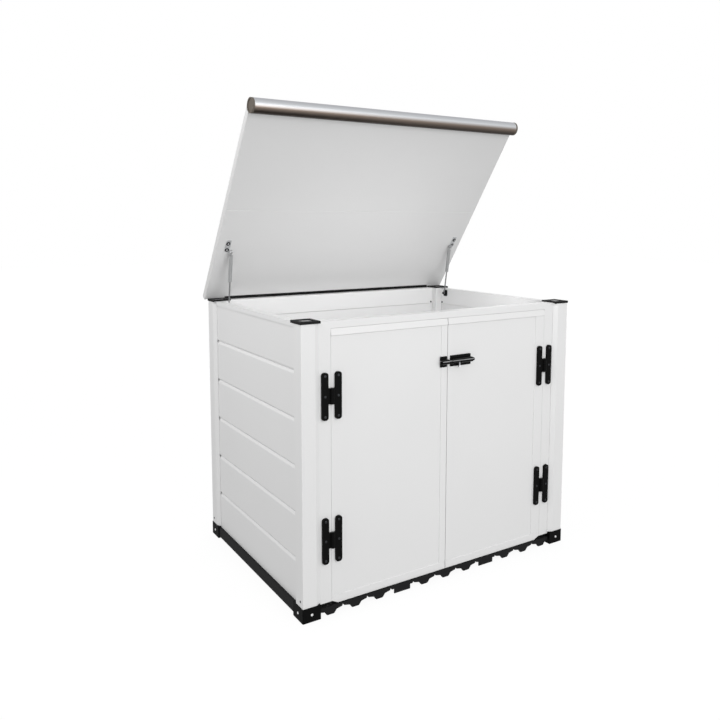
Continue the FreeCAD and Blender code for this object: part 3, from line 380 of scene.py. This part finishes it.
def polished_steel(name, light, dark):
    """Polished steel, zinc-plated or nitrided: bright, with a light cloudiness from the bath."""
    material, tree, shader, place = new_material(name)
    # Clouds from the bath are about 9 mm across
    cloud = add_node(tree, "ShaderNodeTexNoise", {"Vector": place, "Scale": per_metre(9.0), "Detail": 3.0})
    tint = add_node(
        tree,
        "ShaderNodeMix",
        {"Factor": cloud.outputs["Fac"], "A": linear(light), "B": linear(dark)},
        data_type="RGBA",
    )
    tree.links.new(tint.outputs["Result"], shader.inputs["Base Color"])
    gloss = add_node(
        tree, "ShaderNodeMapRange", {"Value": cloud.outputs["Fac"], "To Min": 0.14, "To Max": 0.30}
    )
    tree.links.new(gloss.outputs["Result"], shader.inputs["Roughness"])
    shader.inputs["Metallic"].default_value = 1.0
    return material


def galvanised_plate():
    """Pressed steel lid brackets, hot-dip galvanised: pale grey and dull, with a soft spangle."""
    material, tree, shader, place = new_material("galvanised_steel_plate")
    # Spangle on thin plate is about 7 mm across
    spangle = add_node(tree, "ShaderNodeTexVoronoi", {"Vector": place, "Scale": per_metre(7.0)})
    tint = add_node(
        tree,
        "ShaderNodeMix",
        {"Factor": spangle.outputs["Distance"], "A": linear("#cfd0d1"), "B": linear("#b6b8ba")},
        data_type="RGBA",
    )
    tree.links.new(tint.outputs["Result"], shader.inputs["Base Color"])
    shader.inputs["Metallic"].default_value = 0.35
    shader.inputs["Roughness"].default_value = 0.55
    return material


def grey_lacquered_steel():
    """Steel tube with a thin grey stove lacquer: smooth, half metallic, with a faint mottle."""
    material, tree, shader, place = new_material("grey_lacquered_steel")
    # The mottle of the lacquer is about 3 mm across
    mottle = add_node(tree, "ShaderNodeTexNoise", {"Vector": place, "Scale": per_metre(3.0), "Detail": 2.0})
    tint = add_node(
        tree,
        "ShaderNodeMix",
        {"Factor": mottle.outputs["Fac"], "A": linear("#a5a6a7"), "B": linear("#b5b6b7")},
        data_type="RGBA",
    )
    tree.links.new(tint.outputs["Result"], shader.inputs["Base Color"])
    shader.inputs["Metallic"].default_value = 0.6
    shader.inputs["Roughness"].default_value = 0.30
    return material


def dark_composite(run):
    """Wood-plastic composite, extruded dark grey: dull, with streaks of fibre the way it was drawn."""
    material, tree, shader, place = new_material("dark_grey_composite_along_" + run.lower())
    # Fibre streaks are about 3 mm wide and 90 mm long
    stretch = [per_metre(3.0)] * 3
    stretch["XYZ".index(run)] = per_metre(90.0)
    along = add_node(tree, "ShaderNodeMapping", {"Vector": place, "Scale": stretch})
    streaks = add_node(
        tree, "ShaderNodeTexNoise", {"Vector": along.outputs["Vector"], "Scale": 1.0, "Detail": 4.0}
    )
    tint = add_node(
        tree,
        "ShaderNodeMix",
        {"Factor": streaks.outputs["Fac"], "A": linear("#131314"), "B": linear("#202021")},
        data_type="RGBA",
    )
    tree.links.new(tint.outputs["Result"], shader.inputs["Base Color"])
    bump = add_node(
        tree, "ShaderNodeBump", {"Height": streaks.outputs["Fac"], "Strength": 0.25, "Distance": 0.0005}
    )
    tree.links.new(bump.outputs["Normal"], shader.inputs["Normal"])
    shader.inputs["Roughness"].default_value = 0.62
    shader.inputs["IOR"].default_value = 1.5
    shader.inputs["Specular IOR Level"].default_value = 0.15
    return material


def aluminium_with_painted_reflection():
    """Drawn aluminium tube, satin anodised: fine lines along the tube, and a painted reflection by height
    that is brown on its underside.
    """
    material, tree, shader, place = new_material("satin_anodised_aluminium")
    low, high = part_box("lid_bar")
    # Drawing lines are about 1 mm apart round the tube and are drawn at 1.5 mm
    stretch = (per_metre(900.0), per_metre(1.5), per_metre(1.5))
    along = add_node(tree, "ShaderNodeMapping", {"Vector": place, "Scale": stretch})
    lines = add_node(
        tree, "ShaderNodeTexNoise", {"Vector": along.outputs["Vector"], "Scale": 1.0, "Detail": 3.0}
    )
    # Height on the tube as it stands open, from its lower edge to its upper one
    parts = add_node(tree, "ShaderNodeSeparateXYZ", {"Vector": place})
    height = add_node(
        tree,
        "ShaderNodeMapRange",
        {"Value": parts.outputs["Z"], "From Min": low.z, "From Max": high.z},
    )
    # Painted reflection by height: brown below, a near-white painted highlight above the middle, and duller
    # grey again on top
    painted_reflection = add_node(tree, "ShaderNodeValToRGB", {"Fac": height.outputs["Result"]})
    stops = painted_reflection.color_ramp.elements
    stops[0].position = 0.08
    stops[0].color = linear("#3f342c")
    stops[1].position = 0.95
    stops[1].color = linear("#cccdd2")
    stops.new(0.36).color = linear("#9c8c80")
    stops.new(0.60).color = linear("#eef1f4")
    share = add_node(
        tree, "ShaderNodeMapRange", {"Value": lines.outputs["Fac"], "To Min": 0.0, "To Max": 0.15}
    )
    tint = add_node(
        tree,
        "ShaderNodeMix",
        {"Factor": share.outputs["Result"], "A": painted_reflection.outputs["Color"], "B": linear("#b4b2b2")},
        data_type="RGBA",
    )
    tree.links.new(tint.outputs["Result"], shader.inputs["Base Color"])
    gloss = add_node(
        tree, "ShaderNodeMapRange", {"Value": lines.outputs["Fac"], "To Min": 0.38, "To Max": 0.50}
    )
    tree.links.new(gloss.outputs["Result"], shader.inputs["Roughness"])
    shader.inputs["Metallic"].default_value = 1.0
    return material


white_upright = extruded_pvc("white_pvc_drawn_upright", "#e9e9e9", "#e5e5e5", "Z")
white_across = extruded_pvc("white_pvc_drawn_across", "#e9e9e9", "#e5e5e5", "X")
white_deep = extruded_pvc("white_pvc_drawn_front_to_back", "#e9e9e9", "#e5e5e5", "Y")
# The lid is the same white PVC as the walls, painted greyer as painted shade
lid_white_painted_shade = extruded_pvc("lid_pvc_drawn_across", "#dcdcdc", "#d8d8d8", "X")
lid_edge_white_painted_shade = extruded_pvc("lid_pvc_drawn_front_to_back", "#dcdcdc", "#d8d8d8", "Y", -lid_angle)
black_nylon = moulded_nylon("moulded_black_nylon", "#040404", "#0b0b0b")
grey_nylon = moulded_nylon("moulded_grey_nylon", "#5c564f", "#746d65")
cap_nylon = polished_cap_nylon()
screw_zinc = dull_zinc()
black_steel = black_powder_coat()
bolt_coat = black_coat_with_painted_highlight()
zinc = polished_steel("bright_zinc_plate", "#dcdde0", "#c3c5ca")
nitrided = polished_steel("nitrided_steel_rod", "#a9a9ab", "#929395")
galvanised = galvanised_plate()
strut_grey = grey_lacquered_steel()
floor_grey = dark_composite("Y")
rail_grey = dark_composite("X")
aluminium = aluminium_with_painted_reflection()

NODE_FINISHES = {
    white_upright: (
        "post_front_left post_front_right post_rear_left post_rear_right door_jamb_left door_jamb_right"
        " left_door_panel right_door_panel left_door_stiles right_door_stiles"
    ),
    white_across: "rear_wall_boards top_rail_rear top_rail_front left_door_rails right_door_rails",
    white_deep: "left_wall_boards right_wall_boards top_rail_left top_rail_right",
    lid_white_painted_shade: "lid_rear_board lid_front_board lid_rear_edge",
    lid_edge_white_painted_shade: "lid_edge_left lid_edge_right",
    black_nylon: (
        "foot_front_left foot_front_right foot_rear_left foot_rear_right left_hinge_jamb_leaves"
        " right_hinge_jamb_leaves left_hinge_door_leaves right_hinge_door_leaves"
    ),
    cap_nylon: "post_caps",
    bolt_coat: "bolt_plate bolt_keeper bolt_rod",
    black_steel: (
        "lid_hinge_lower_leaf lid_hinge_upper_leaf left_hinge_pins right_hinge_pins left_strut_wall_bracket"
        " right_strut_wall_bracket"
    ),
    zinc: "lid_hinge_pin bolt_knob",
    nitrided: "left_strut_rod right_strut_rod",
    galvanised: "left_strut_lid_bracket right_strut_lid_bracket",
    strut_grey: "left_strut_cylinder right_strut_cylinder",
    grey_nylon: "lid_bar_end_left lid_bar_end_right",
    floor_grey: "floor_ribbed_planks floor_runner_planks base_rail_left base_rail_right",
    rail_grey: "base_rail_rear",
    aluminium: "lid_bar",
}
for finish, names in NODE_FINISHES.items():
    for name in names.split():
        mesh = nodes[name].data
        mesh.materials.clear()
        mesh.materials.append(finish)


def deselect():
    """Leave nothing selected, so that the next operator acts on its own piece alone."""
    bpy.ops.object.select_all(action="DESELECT")


def domed_head(radius, height, finish):
    """Round screw head or plug: a disc at the origin whose rim is rounded into a low dome, facing +z."""
    deselect()
    middle = (0, 0, height / 2.0)
    bpy.ops.mesh.primitive_cylinder_add(
        vertices=HEAD_CORNERS, radius=radius, depth=height, location=middle
    )
    head = bpy.context.object
    bpy.ops.object.transform_apply(location=True, rotation=False, scale=False)
    bpy.ops.object.mode_set(mode="EDIT")
    bpy.ops.mesh.select_all(action="DESELECT")
    bpy.ops.object.mode_set(mode="OBJECT")
    for edge in head.data.edges:
        ends = [head.data.vertices[index].co for index in edge.vertices]
        edge.select = all(abs(end.z - height) < SAME_HEIGHT for end in ends)
    bpy.ops.object.mode_set(mode="EDIT")
    bpy.ops.mesh.select_mode(type="EDGE")
    rounding = height * HEAD_ROUNDING_SHARE
    bpy.ops.mesh.bevel(offset=rounding, segments=HEAD_ROUNDING_STEPS, affect="EDGES")
    bpy.ops.object.mode_set(mode="OBJECT")
    head.data.materials.append(finish)
    return head


def cut_cross(head, radius, height):
    """Sink a cross recess into the top of a screw head."""
    slot_length = radius * CROSS_LENGTH_SHARE
    slot_width = radius * CROSS_WIDTH_SHARE
    slots = []
    for across, along in ((slot_length, slot_width), (slot_width, slot_length)):
        deselect()
        bpy.ops.mesh.primitive_cube_add(size=1.0, location=(0, 0, height))
        slot = bpy.context.object
        slot.scale = (across, along, height)
        bpy.ops.object.transform_apply(location=True, rotation=False, scale=True)
        slots.append(slot)
    for slot in slots:
        deselect()
        head.select_set(True)
        bpy.context.view_layer.objects.active = head
        recess = head.modifiers.new("recess", "BOOLEAN")
        recess.operation = "DIFFERENCE"
        recess.object = slot
        bpy.ops.object.modifier_apply(modifier=recess.name)
        bpy.data.objects.remove(slot)
    return head


def set_of_heads(name, pattern, facing, places, body):
    """Copies of one head at several places, all facing one way, joined to a piece that rides on a body."""
    turn = Vector((0, 0, 1)).rotation_difference(Vector(facing))
    copies = []
    for place in places:
        copy = pattern.copy()
        copy.data = pattern.data.copy()
        bpy.context.collection.objects.link(copy)
        copy.rotation_mode = "QUATERNION"
        copy.rotation_quaternion = turn
        copy.location = Vector(place) - Vector(facing) * HEAD_SUNK
        copies.append(copy)
    deselect()
    for copy in copies:
        copy.select_set(True)
    bpy.context.view_layer.objects.active = copies[0]
    bpy.ops.object.transform_apply(location=True, rotation=True, scale=True)
    if len(copies) > 1:
        bpy.ops.object.join()
    piece = bpy.context.object
    piece.name = name
    bpy.ops.object.shade_smooth_by_angle(angle=math.radians(SMOOTH_ANGLE))
    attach(piece, body)


def screw_pattern(radius, finish):
    """One domed screw head with a cross recess, to be copied and then removed."""
    height = radius * HEAD_HEIGHT_SHARE
    return cut_cross(domed_head(radius, height, finish), radius, height)


def hinge_screw_places(node):
    """Three screws in each leaf of a hinge node that holds an upper and a lower leaf."""
    low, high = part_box(node)
    barrel = joints[node.split("_")[0] + "_door_hinge"]["pos_m"][0]
    edge = low.x if abs(low.x - barrel) > abs(high.x - barrel) else high.x
    middle = edge + math.copysign(LEAF_WIDTH / 2.0, barrel - edge)
    centres = (high.z - LEAF_HEIGHT / 2.0, low.z + LEAF_HEIGHT / 2.0)
    steps = (-HINGE_SCREW_SPREAD, 0.0, HINGE_SCREW_SPREAD)
    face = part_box(node.split("_")[0] + "_door_stiles")[0].y - LEAF_THICKNESS
    return [(middle, face, centre + step) for centre in centres for step in steps]


# Screws of the H hinges
hinge_screw = screw_pattern(HINGE_SCREW_RADIUS, screw_zinc)
for side, door in BODY_OF_SIDE.items():
    for leaf, body in (("jamb", "cabinet"), ("door", door)):
        places = hinge_screw_places(side + "_hinge_" + leaf + "_leaves")
        set_of_heads(side + "_" + leaf + "_hinge_screws", hinge_screw, FRONT, places, body)
bpy.data.objects.remove(hinge_screw)

# Screws of the bolt plate and of its keeper
bolt_screw = screw_pattern(BOLT_SCREW_RADIUS, black_steel)
plate_low, plate_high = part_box("bolt_plate")
keeper_low, keeper_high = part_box("bolt_keeper")
bolt_line = (plate_low.z + plate_high.z) / 2.0
plate_face = plate_high.y - BOLT_PLATE_THICKNESS
plate_columns = (plate_low.x + BOLT_SCREW_FROM_END, plate_high.x - BOLT_SCREW_FROM_END)
plate_rows = (bolt_line - BOLT_SCREW_FROM_MIDDLE, bolt_line + BOLT_SCREW_FROM_MIDDLE)
plate_places = [(x, plate_face, z) for x in plate_columns for z in plate_rows]
set_of_heads("bolt_plate_screws", bolt_screw, FRONT, plate_places, "right_door")
keeper_middle = (keeper_low.x + keeper_high.x) / 2.0
keeper_places = [(keeper_middle, plate_face, z) for z in plate_rows]
set_of_heads("bolt_keeper_screws", bolt_screw, FRONT, keeper_places, "left_door")
bpy.data.objects.remove(bolt_screw)

# Screws of the strut brackets: two through each wall plate, two through each lid plate
lid_axis = Vector(lid_joint["pos_m"])
lid_turn = Matrix.Rotation(lid_angle, 3, "X")
underside = lid_turn @ Vector((0, 0, -1))
reach_way = lid_turn @ Vector((0, -1, 0))
bracket_screw = screw_pattern(BRACKET_SCREW_RADIUS, screw_zinc)
lid_screw = screw_pattern(LID_SCREW_RADIUS, galvanised)
# The black discs under the lid screws are painted shade, standing for the shadow round each head
shadow_ring = domed_head(SHADOW_RING_RADIUS, SHADOW_RING_HEIGHT, black_nylon)
for side, sign in SIDE_SIGNS.items():
    low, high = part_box(side + "_strut_wall_bracket")
    rail_low, rail_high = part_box("top_rail_" + side)
    rail_face = rail_high.x if side == "left" else rail_low.x
    middle = (low + high) / 2.0
    plate_middle = Vector((rail_face - sign * BRACKET_PLATE, middle.y, middle.z))
    step = Vector(WALL_BRACKET_SCREW_STEP)
    wall_places = [plate_middle + step, plate_middle - step]
    set_of_heads(side + "_strut_wall_screws", bracket_screw, INWARD[side], wall_places, "cabinet")
    corners = [vertex.co for vertex in nodes[side + "_strut_lid_bracket"].data.vertices]
    reaches = [(corner - lid_axis).dot(reach_way) for corner in corners]
    drops = [(corner - lid_axis).dot(underside) for corner in corners]
    low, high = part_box(side + "_strut_lid_bracket")
    inner = min(abs(low.x), abs(high.x)) + BRACKET_PLATE
    outer = max(abs(low.x), abs(high.x))
    plate_drop = min(drops) + BRACKET_PLATE
    shadow_ring_places = []
    for share in LID_BRACKET_SCREW_SHARES:
        reach = min(reaches) + share * (max(reaches) - min(reaches))
        spot = lid_axis + reach_way * reach + underside * plate_drop
        shadow_ring_places.append(Vector((sign * (inner + outer) / 2.0, spot.y, spot.z)))
    lid_places = [place + underside * (SHADOW_RING_HEIGHT - HEAD_SUNK) for place in shadow_ring_places]
    set_of_heads(side + "_strut_lid_washers", shadow_ring, underside, shadow_ring_places, "lid")
    set_of_heads(side + "_strut_lid_screws", lid_screw, underside, lid_places, "lid")
for pattern in (bracket_screw, lid_screw, shadow_ring):
    bpy.data.objects.remove(pattern)

# One screw low in the side of each post
post_screw = screw_pattern(POST_SCREW_RADIUS, screw_zinc)
for side in ("left", "right"):
    places = []
    for corner in ("front_" + side, "rear_" + side):
        low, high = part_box("post_" + corner)
        face = low.x if side == "left" else high.x
        is_front = corner.startswith("front")
        depth = low.y + POST_SCREW_FROM_CORNER if is_front else high.y - POST_SCREW_FROM_CORNER
        places.append((face, depth, POST_SCREW_HEIGHT))
    set_of_heads(side + "_post_screws", post_screw, OUTWARD[side], places, "cabinet")
bpy.data.objects.remove(post_screw)

# Screws at the ends of the inner legs of the top rails
rail_screw = screw_pattern(RAIL_SCREW_RADIUS, black_steel)
for side in ("left", "right"):
    low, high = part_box("top_rail_" + side)
    face = high.x if side == "left" else low.x
    ends = (low.y + RAIL_SCREW_FROM_END, high.y - RAIL_SCREW_FROM_END)
    places = [(face, end, low.z + RAIL_SCREW_RISE) for end in ends]
    set_of_heads(side + "_rail_screws", rail_screw, INWARD[side], places, "cabinet")
low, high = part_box("top_rail_rear")
ends = (low.x + RAIL_SCREW_FROM_END, high.x - RAIL_SCREW_FROM_END)
places = [(end, low.y, low.z + RAIL_SCREW_RISE) for end in ends]
set_of_heads("rear_rail_screws", rail_screw, FRONT, places, "cabinet")
bpy.data.objects.remove(rail_screw)

# White plugs in the anchor holes of the feet
plug = domed_head(PLUG_RADIUS, PLUG_HEIGHT, white_upright)
plugs_facing = {"front": (FRONT, []), "rear": (BACK, []), "left": (LEFT, []), "right": (RIGHT, [])}
for end in ("front", "rear"):
    for side in ("left", "right"):
        low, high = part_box("foot_" + end + "_" + side)
        middle = (low + high) / 2.0
        end_face = low.y if end == "front" else high.y
        side_face = low.x if side == "left" else high.x
        plugs_facing[end][1].append((middle.x, end_face, ANCHOR_HOLE_HEIGHT))
        plugs_facing[side][1].append((side_face, middle.y, ANCHOR_HOLE_HEIGHT))
for way, (facing, places) in plugs_facing.items():
    set_of_heads(way + "_anchor_plugs", plug, facing, places, "cabinet")
bpy.data.objects.remove(plug)

# Camera, floor and light
deselect()
camera_data = bpy.data.cameras.new("camera")
camera_data.lens = CAMERA_LENS
camera_data.sensor_width = CAMERA_SENSOR
camera_data.shift_y = CAMERA_SHIFT
camera = bpy.data.objects.new("camera", camera_data)
camera.location = CAMERA_PLACE
camera.rotation_euler = (math.radians(90.0 - CAMERA_ELEVATION), 0.0, math.radians(CAMERA_AZIMUTH))
bpy.context.collection.objects.link(camera)
bpy.context.scene.camera = camera

bpy.ops.mesh.primitive_plane_add(size=FLOOR_SIZE, location=(0, 0, cad_low.z))
floor = bpy.context.object
floor.name = "studio_floor"
# The floor glows like a light table, so that it stays white to the eye; its light leaves the object alone
paper, _, paper_shader, _ = new_material("white_studio_paper")
paper_shader.inputs["Base Color"].default_value = linear("#404040")
paper_shader.inputs["Roughness"].default_value = 0.9
paper_shader.inputs["Emission Color"].default_value = linear("#ffffff")
paper_shader.inputs["Emission Strength"].default_value = FLOOR_GLOW
floor.data.materials.append(paper)
floor.visible_diffuse = False
floor.visible_glossy = False

SOFT_BOXES = {
    "front_soft_box": (FRONT_LIGHT_PLACE, FRONT_LIGHT_WIDTH, FRONT_LIGHT_WATTS),
    "left_soft_box": (LEFT_LIGHT_PLACE, LEFT_LIGHT_WIDTH, LEFT_LIGHT_WATTS),
    "back_soft_box": (BACK_LIGHT_PLACE, BACK_LIGHT_WIDTH, BACK_LIGHT_WATTS),
}
for name, (place, width, watts) in SOFT_BOXES.items():
    light_data = bpy.data.lights.new(name, "AREA")
    light_data.size = width
    light_data.energy = watts
    light = bpy.data.objects.new(name, light_data)
    light.location = place
    light.rotation_euler = (Vector(place) - Vector(LIGHT_AIM)).to_track_quat("Z", "Y").to_euler()
    light.visible_camera = False
    bpy.context.collection.objects.link(light)

# A card inside, behind the doors, throws light up under the lid
card_data = bpy.data.lights.new("inside_card", "AREA")
card_data.shape = "RECTANGLE"
card_data.size, card_data.size_y = INSIDE_LIGHT_SIZE
card_data.energy = INSIDE_LIGHT_WATTS
card = bpy.data.objects.new("inside_card", card_data)
card.location = INSIDE_LIGHT_PLACE
card_way = Vector(INSIDE_LIGHT_PLACE) - Vector(INSIDE_LIGHT_AIM)
card.rotation_euler = card_way.to_track_quat("Z", "Y").to_euler()
card.visible_camera = False
card.visible_glossy = False
bpy.context.collection.objects.link(card)

# The room is white to the eye, and as a light it is dimmer, most of all from below
world = bpy.data.worlds.new("white_studio")
bpy.context.scene.world = world
world.use_nodes = True
world_tree = world.node_tree
seen = add_node(world_tree, "ShaderNodeLightPath").outputs["Is Camera Ray"]
way = add_node(world_tree, "ShaderNodeTexCoord").outputs["Generated"]
way_parts = add_node(world_tree, "ShaderNodeSeparateXYZ", {"Vector": way})
room = add_node(
    world_tree,
    "ShaderNodeMapRange",
    {
        "Value": way_parts.outputs["Z"],
        "From Min": -ROOM_HORIZON,
        "From Max": ROOM_HORIZON,
        "To Min": ROOM_LIGHT_BELOW,
        "To Max": ROOM_LIGHT_ABOVE,
    },
)
backdrop = add_node(
    world_tree,
    "ShaderNodeMix",
    {"Factor": seen, "A": room.outputs["Result"], "B": 1.0},
    data_type="FLOAT",
)
world_tree.nodes["Background"].inputs["Color"].default_value = linear("#ffffff")
world_tree.links.new(backdrop.outputs["Result"], world_tree.nodes["Background"].inputs["Strength"])
bpy.context.scene.view_settings.view_transform = "Standard"
